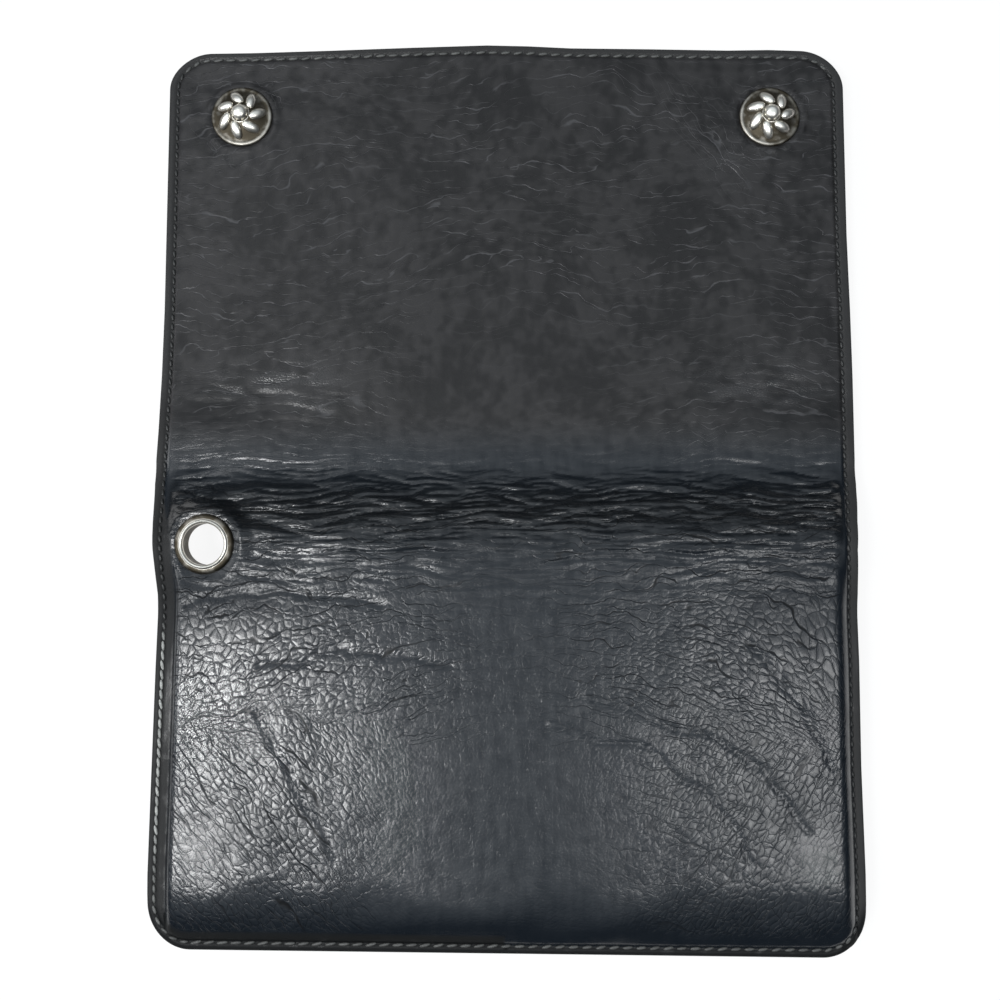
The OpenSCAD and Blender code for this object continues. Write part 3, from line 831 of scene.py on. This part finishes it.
run = stitch_run()
stitch_z = leather_height(run[:, 0], run[:, 1]) + thread_lift
stitch_x, stitch_y = settle(run[:, 0], run[:, 1])
rise = (leather_height(run[:, 0], run[:, 1] + 0.4) - leather_height(run[:, 0], run[:, 1] - 0.4)) / 0.8
left_stitch_glint = smooth((-34 - run[:, 1]) / 8) * (1 - 0.7 * smooth((-84 - run[:, 1]) / 12)) * (run[:, 0] < 0)
places = []
for k in range(len(run)):
    twist = 0.16 + 0.08 * math.sin(k * 2.4)
    lean = math.atan(rise[k]) * math.sin(run[k, 2])
    length = (stitch_share + 0.13 * left_stitch_glint[k]) * run[k, 3]
    size = Matrix.Diagonal((length * mm, thread_r * mm, thread_half_high * mm, 1))
    turn = Matrix.Rotation(run[k, 2] + twist, 4, "Z") @ Matrix.Rotation(-lean, 4, "Y")
    places.append(Matrix.Translation((stitch_x[k] * mm, stitch_y[k] * mm, stitch_z[k] * mm)) @ turn @ size)
# Painted highlight: the pale thread down the left of the pocket half stands for glints on the stitches. The
# thread is also paler across both ends.
pale = np.where(run[:, 1] < 6 - half_h, 0.13, 0.013 + 0.85 * left_stitch_glint)
pale = np.where(run[:, 1] > half_h - 6, 0.18, pale)
pale = pale * (1 + 0.2 * np.sin(np.arange(len(run)) * 1.7))
edge_thread, ball_points = copy_ball("edge_thread", 8, 6, places)
store(edge_thread.data, "pale", np.repeat(np.clip(pale, 0, 1), len(ball_points)))
waxed_thread = new_material("waxed_thread")
thread_tree = waxed_thread.node_tree
thread_spot = add_node(thread_tree, "ShaderNodeTexCoord").outputs["Object"]
thread_fibre = noise(thread_tree, thread_spot, 2600.0, 4.0)
thread_tone = mix_colour(thread_tree, attribute(thread_tree, "pale"), thread_dark, thread_pale)
thread_worn = mix_colour(thread_tree, thread_fibre, thread_black, thread_tone)
cover(waxed_thread, Base_Color=thread_worn, Roughness=0.5,
      Normal=bump(thread_tree, 0.6, 0.0001, thread_fibre))
edge_thread.data.materials.append(waxed_thread)
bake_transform(edge_thread)


# Grommet. A silver eyelet is pressed through the leather and the lining and clenched over a washer, so that
# a chain's hook can go through it. Its rolled lip is polished by the hook, and the flange is tarnished.
grommet_seat = Vector((grommet_at[0], grommet_at[1], grommet_z)) * mm
grommet_tilt = Matrix.Rotation(-grommet_lean[0], 4, "Y") @ Matrix.Rotation(grommet_lean[1], 4, "X")


def turn_on_lathe(name, profile, steps):
    points = [(r * mm, 0, z * mm) for r, z in profile]
    piece = add_piece(name, points, [(k, k + 1) for k in range(len(points) - 1)], [])
    bpy.ops.object.mode_set(mode="EDIT")
    bpy.ops.mesh.select_all(action="SELECT")
    bpy.ops.mesh.spin(steps=steps, angle=2 * math.pi, center=(0, 0, 0), axis=(0, 0, 1))
    bpy.ops.mesh.select_all(action="SELECT")
    bpy.ops.mesh.remove_doubles(threshold=1e-6)
    face_outward()
    bpy.ops.object.shade_smooth_by_angle(angle=math.radians(38))
    return piece


silver_bright = (0.82, 0.79, 0.72, 1)
silver_black = (0.056, 0.048, 0.035, 1)
aged_silver = new_material("aged_silver")
silver_tree = aged_silver.node_tree
silver_spot = add_node(silver_tree, "ShaderNodeTexCoord").outputs["Object"]
silver_cloud = noise(silver_tree, silver_spot, 420.0, 5.0)
silver_pits = noise(silver_tree, silver_spot, 2200.0, 3.0)
silver_cover = span(silver_tree, silver_cloud, 0.35, 0.75, -0.06, 0.26)
silver_dark = add_node(silver_tree, "ShaderNodeMath", {"operation": "ADD", "use_clamp": True},
                       i0=attribute(silver_tree, "tarnish"), i1=silver_cover).outputs["Value"]
silver_colour = mix_colour(silver_tree, silver_dark, silver_bright, silver_black)
silver_rough = span(silver_tree, silver_dark, 0.0, 1.0, 0.32, 0.52)
cover(aged_silver, Base_Color=silver_colour, Roughness=silver_rough, Metallic=1.0,
      Normal=bump(silver_tree, 0.25, 0.00005, silver_pits))

eyelet_profile = [
    (5.1, -3.65), (5.1, -1.5), (5.1, 0.35), (5.1, 0.75), (5.2, 1.12), (5.42, 1.38), (5.72, 1.46),
    (5.98, 1.34), (6.12, 1.08), (6.3, 1.04), (6.7, 1.0), (7.1, 0.78), (7.36, 0.45), (7.45, 0.05),
    (7.3, -0.08), (5.7, -0.08), (5.7, -2.9), (5.95, -3.12), (6.4, -3.2), (6.4, -3.5), (6.1, -3.65),
    (5.1, -3.65),
]
eyelet = turn_on_lathe("grommet_ring", eyelet_profile, 96)
eyelet_x, eyelet_y, eyelet_z = read_vectors(eyelet.data.vertices, "co").T / mm
eyelet_r = np.hypot(eyelet_x, eyelet_y)
eyelet_bore = 0.95 * smooth((0.9 - eyelet_z) / 0.5) * (eyelet_r < 5.3)
store(eyelet.data, "tarnish", np.clip(0.93 * smooth((eyelet_r - 6.0) / 0.3) + eyelet_bore, 0, 1))
eyelet.data.transform(Matrix.Translation(grommet_seat) @ grommet_tilt)
eyelet.data.materials.append(aged_silver)
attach(eyelet, "wallet_body")
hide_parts("grommet_eyelet")


def dress(node, material):
    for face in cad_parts[node].material_slots:
        face.material = material


dress("grommet_washer", aged_silver)


# Snap caps. Each is cast silver with a plain bevelled rim, a whorl of swept lobes and a ball in the middle.
# The hollows are left dark, and the cap's post goes through the flap into the socket below.
cap_profile = [(1.6, -1.6), (1.6, -0.25), (7.6, -0.25), (7.9, 0.05), (7.9, 0.48), (7.78, 0.72), (7.50, 0.88),
               (7.2, 0.94), (7.0, 0.91), (6.85, 0.92), (6.5, 1.0), (6.2, 1.12), (5.4, 1.56), (4.4, 2.10),
               (3.4, 2.50), (2.5, 2.76), (2.25, 2.86), (2.15, 3.10), (2.08, 3.50), (1.86, 4.02), (1.46, 4.42),
               (0.92, 4.68), (0.44, 4.78), (0.0, 4.8)]


def dome_level(r):
    return np.interp(r, [2.5, 3.4, 4.4, 5.4, 6.2], [2.76, 2.50, 2.10, 1.56, 1.04])


lobe_count = 7
lobe_ring_r = 4.40
lobe_size = Matrix.Diagonal((2.50 * mm, 1.36 * mm, 1.00 * mm, 1))
lobe_lean = Matrix.Rotation(0.47, 4, "Y") @ Matrix.Rotation(0.50, 4, "Z")
lobe_z = dome_level(lobe_ring_r) + 0.10
lobe_place = Matrix.Translation((lobe_ring_r * mm, 0, lobe_z * mm)) @ lobe_lean @ lobe_size
for label, side, rubbed_at in (("left", -1, -50), ("right", 1, 205)):
    cap = turn_on_lathe("snap_cap_" + label, cap_profile, 72)
    cap_x, cap_y = read_vectors(cap.data.vertices, "co").T[:2] / mm
    cap_r = np.hypot(cap_x, cap_y)
    cap_a = np.arctan2(cap_y, cap_x)
    rubbed = smooth(np.cos(cap_a - math.radians(rubbed_at)) + 0.2)
    cap_dark = smooth((cap_r - 2.2) / 0.15) * (1 - 0.07 * smooth((cap_r - 4.5) / 2.0))
    cap_dark = cap_dark - (0.05 + 0.36 * rubbed) * bell(cap_r - 7.45, 0.35)
    store(cap.data, "tarnish", np.clip(cap_dark, 0, 1))
    turns = [Matrix.Rotation(2 * math.pi * k / lobe_count, 4, "Z") for k in range(lobe_count)]
    lobes, ball_points = copy_ball("lobes", 14, 9, [turn @ lobe_place for turn in turns])
    store(lobes.data, "tarnish", np.tile(np.clip(0.10 - 1.3 * ball_points[:, 2], 0, 1), lobe_count))
    bpy.ops.object.select_all(action="DESELECT")
    for piece in (lobes, cap):
        piece.select_set(True)
    bpy.context.view_layer.objects.active = cap
    bpy.ops.object.join()
    cap.data.transform(Matrix.Translation((side * snap_x * mm, snap_y * mm, flap_z * mm)))
    cap.data.materials.append(aged_silver)
    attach(cap, "flap")
    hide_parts("cap_" + label)


# Lining. A thinner, smoother black leather is glued under the outer hide, in the pocket half's bill
# compartment, under the fold and on the inside of the flap.
lining_t = 0.7
lining_gap = 0.02
lining_hole_r = 6.6


def lining_top(x, y):
    return leather_under(x, y) - lining_gap


def lining_under(x, y):
    inside = smooth((edge_distance(x, y) - plain_edge) / plain_fade)
    return leather_under(x, y) - lining_t - 0.22 * inside * fold_wrinkles(x, y) * in_fold(y)


def plain_leather(name, colour, rough, scale):
    material = new_material(name)
    tree = material.node_tree
    spot = add_node(tree, "ShaderNodeTexCoord").outputs["Object"]
    place = vector_maths(tree, "SCALE", i0=spot, Scale=1000.0)
    grained = add_node(tree, "ShaderNodeGroup", {"node_tree": cells}, Place=place,
                       Cells=(scale * 0.9, scale, 1.0), Wander=1.5, Width=0.22).outputs["Crack"]
    scuffs = add_node(tree, "ShaderNodeGroup", {"node_tree": lines}, Place=place, Cells=(0.03, 0.16, 1.0),
                      Wander=4.0, Width=0.03).outputs["Line"]
    cloud = noise(tree, place, 0.08, 4.0)
    pores = noise(tree, place, 2.2, 4.0)
    worn = span(tree, cloud, 0.32, 0.68, 0.0, 1.0)
    dark, pale, bare = [tuple(share * c for c in colour) + (1,) for share in (0.55, 1.5, 2.2)]
    tone = mix_colour(tree, worn, dark, pale)
    lined = mix_colour(tree, maths(tree, "MULTIPLY", grained, 0.5), tone, dark)
    rubbed = mix_colour(tree, maths(tree, "MULTIPLY", scuffs, 0.5), lined, bare)
    low = maths(tree, "MULTIPLY_ADD", grained, -0.5, maths(tree, "MULTIPLY", scuffs, -0.4))
    height = maths(tree, "MULTIPLY_ADD", pores, 0.3, low)
    sheen = maths(tree, "MULTIPLY_ADD", cloud, 0.16, rough)
    cover(material, Base_Color=rubbed, Roughness=sheen, Normal=bump(tree, 0.9, 0.00020, height))
    return material


lining_leather = plain_leather("lining_leather", (0.020, 0.018, 0.017), 0.44, 0.9)
lining_columns = lines_between(-half_w, half_w, 2.4)
lining_rows = {
    "body": np.concatenate([lines_between(-half_h, -34, 2.0), lines_between(-34, split_y, 1.0)[1:]]),
    "flap": np.concatenate([lines_between(split_y, 16, 1.0), lines_between(16, half_h, 2.4)[1:]]),
}
lining_nodes = {"body": ("back_lining", "band_lining", "fold_lining"), "flap": ("flap_lining",)}
for part, rows in lining_rows.items():
    lining = hide_grid("lining_" + part, rows, lining_columns, lining_top, lining_under, lining_hole_r)
    lining.data.materials.append(lining_leather)
    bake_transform(lining)
    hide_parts(*lining_nodes[part])


# Pocket layers. The front panel closes the pocket half below, with three card slots sewn to it and a coin
# pocket behind it. They are flat cut leather with burnished round edges, held by the edge thread.
pocket_leather = plain_leather("pocket_leather", (0.026, 0.023, 0.021), 0.40, 1.05)
front_leather = plain_leather("front_leather", (0.016, 0.016, 0.017), 0.34, 0.8)
mouth_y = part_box("front_panel")[1].y / mm
gusset_w = 4.0
card_half_w = 61.0
card_top_y = -30.0
card_step = 8.0
card_foot_y = -106.0
card_corner_r = 3.0
notch_r = 10.0


def arc(cx, cy, r, start, stop, count):
    turns = np.linspace(math.radians(start), math.radians(stop), count)
    return [(cx + r * math.cos(t), cy + r * math.sin(t)) for t in turns]


def cut_layer(name, outline, node, material, ease=0.24):
    low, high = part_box(node)
    outline_x, outline_y = settle(*np.array(outline, dtype=float).T)
    points = [(x * mm, y * mm, low.z) for x, y in zip(outline_x, outline_y)]
    piece = add_piece(name, points, [], [list(range(len(points)))])
    bpy.ops.object.mode_set(mode="EDIT")
    bpy.ops.mesh.select_all(action="SELECT")
    bpy.ops.mesh.extrude_region_move(TRANSFORM_OT_translate={"value": (0, 0, high.z - low.z)})
    face_outward()
    eased = piece.modifiers.new("burnished_edge", "BEVEL")
    eased.width = ease * mm
    eased.segments = 3
    eased.limit_method = "ANGLE"
    eased.angle_limit = math.radians(50)
    bpy.ops.object.modifier_apply(modifier="burnished_edge")
    bpy.ops.object.shade_smooth_by_angle(angle=math.radians(40))
    piece.data.materials.append(material)
    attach(piece, "wallet_body")
    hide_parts(node)


def pocket_outline(inset, r):
    side = half_w - inset
    end = -half_h + inset
    return (arc(-side + r, end + r, r, 180, 270, 9) + arc(side - r, end + r, r, 270, 360, 9)
            + [(side, mouth_y), (-side, mouth_y)])


rim_outline = (pocket_outline(0, corner_r)[:-2] + [(half_w, mouth_y), (half_w - gusset_w, mouth_y)]
               + pocket_outline(gusset_w, corner_r)[-3::-1]
               + [(-half_w + gusset_w, mouth_y), (-half_w, mouth_y)])
cut_layer("front_cover", pocket_outline(0, corner_r), "front_panel", front_leather, 0.4)
cut_layer("coin_rim", rim_outline, "coin_gusset", pocket_leather, 0.15)
cut_layer("coin_back", pocket_outline(0, corner_r), "coin_back_panel", pocket_leather, 0.2)
for index in range(3):
    slot_high = card_top_y - card_step * index
    mouth = []
    for side in (1, -1):
        mouth += arc(side * card_half_w / 2, slot_high + notch_r / 2, notch_r, -30, -150, 13)
    card_foot = []
    for side, start in ((-1, 180), (1, 270)):
        corner_x = side * (card_half_w - card_corner_r)
        card_foot += arc(corner_x, card_foot_y, card_corner_r, start, start + 90, 5)
    card_outline = card_foot + [(card_half_w, slot_high)] + mouth + [(-card_half_w, slot_high)]
    cut_layer("card_pocket_" + str(index + 1), card_outline, "card_slot_" + str(index + 1), pocket_leather)


# Inner thread. The edge thread comes out again on the inside, and finer thread sews the card slots down
# along their sides, their foot and the seam between the two columns.
inner_thread_r = 0.36
inner_thread_pale = 0.6
pocket_seam_z = 2.06
card_pitch = 2.2
card_seam_x = 59.2
card_foot_seam_y = -107.2


def inner_level(x, y):
    return np.where(y < mouth_y, pocket_seam_z, lining_under(x, y) - 0.04)


def sew(name, run, level, half_high, tilt):
    sx, sy = settle(run[:, 0], run[:, 1])
    places = []
    for k in range(len(run)):
        size = Matrix.Diagonal((stitch_share * run[k, 3] * mm, inner_thread_r * mm, half_high * mm, 1))
        turn = Matrix.Rotation(run[k, 2] + tilt, 4, "Z")
        places.append(Matrix.Translation((sx[k] * mm, sy[k] * mm, level[k] * mm)) @ turn @ size)
    sewn, ball_points = copy_ball(name, 8, 6, places)
    store(sewn.data, "pale", np.full(len(run) * len(ball_points), inner_thread_pale))
    sewn.data.materials.append(waxed_thread)
    return sewn


inner_thread = sew("inner_thread", run, inner_level(run[:, 0], run[:, 1]), 0.26, -0.16)
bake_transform(inner_thread)
card_run = []
for y in np.arange(-106.5, -31.0, card_pitch):
    level = 0 if y < -46.5 else 0.7 if y < -38.5 else 1.4
    for x in (-card_seam_x, 0.0, card_seam_x):
        card_run.append((x, y, math.pi / 2, card_pitch, level))
for x in np.arange(-57.0, 57.5, card_pitch):
    card_run.append((x, card_foot_seam_y, 0.0, card_pitch, 0))
card_run = np.array(card_run)
card_thread = sew("card_thread", card_run, card_run[:, 4] + 0.02, 0.18, 0.12)
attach(card_thread, "wallet_body")


# Zip. Two woven tapes are glued into the coin pocket's mouth, and each carries a row of metal teeth. The
# slider runs along them and its pull tab swings on a pin.
woven_tape = new_material("woven_tape")
tape_tree = woven_tape.node_tree
tape_spot = add_node(tape_tree, "ShaderNodeTexCoord").outputs["Object"]
tape_axes = add_node(tape_tree, "ShaderNodeSeparateXYZ", Vector=tape_spot)
warp = maths(tape_tree, "SINE", maths(tape_tree, "MULTIPLY", tape_axes.outputs["X"], 9000.0), 0.0)
weft = maths(tape_tree, "SINE", maths(tape_tree, "MULTIPLY", tape_axes.outputs["Y"], 14000.0), 0.0)
tape_weave = maths(tape_tree, "MULTIPLY", warp, weft)
tape_dust = noise(tape_tree, tape_spot, 300.0, 4.0)
tape_tone = mix_colour(tape_tree, tape_dust, (0.008, 0.008, 0.009, 1), (0.030, 0.030, 0.032, 1))
cover(woven_tape, Base_Color=tape_tone, Roughness=0.75, Normal=bump(tape_tree, 0.7, 0.0001, tape_weave))
for label in ("front", "back"):
    low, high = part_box("zip_tape_" + label)
    tape_outline = [(low.x / mm, low.y / mm), (high.x / mm, low.y / mm), (high.x / mm, high.y / mm),
                    (low.x / mm, high.y / mm)]
    cut_layer("woven_tape_" + label, tape_outline, "zip_tape_" + label, woven_tape, 0.12)

zip_metal = new_material("zip_metal")
zip_tree = zip_metal.node_tree
zip_spot = add_node(zip_tree, "ShaderNodeTexCoord").outputs["Object"]
zip_cloud = noise(zip_tree, zip_spot, 500.0, 5.0)
zip_scratch = noise(zip_tree, zip_spot, 2500.0, 3.0)
zip_tone = mix_colour(zip_tree, zip_cloud, (0.50, 0.44, 0.33, 1), (0.30, 0.26, 0.20, 1))
zip_rough = maths(zip_tree, "MULTIPLY_ADD", zip_cloud, 0.25, 0.18)
cover(zip_metal, Base_Color=zip_tone, Roughness=zip_rough, Metallic=1.0,
      Normal=bump(zip_tree, 0.2, 0.00005, zip_scratch))
for node in ("zip_teeth_front", "zip_teeth_back", "zip_end_stops", "zip_slider", "zip_pull"):
    dress(node, zip_metal)


# Snap insides. The sockets under the flap with their wire springs, and the studs with their rivet posts on
# the front panel, are turned brass with the same worn silver plating as the caps.
for label in ("left", "right"):
    for node in ("socket_", "socket_spring_", "stud_", "stud_post_"):
        dress(node + label, aged_silver)
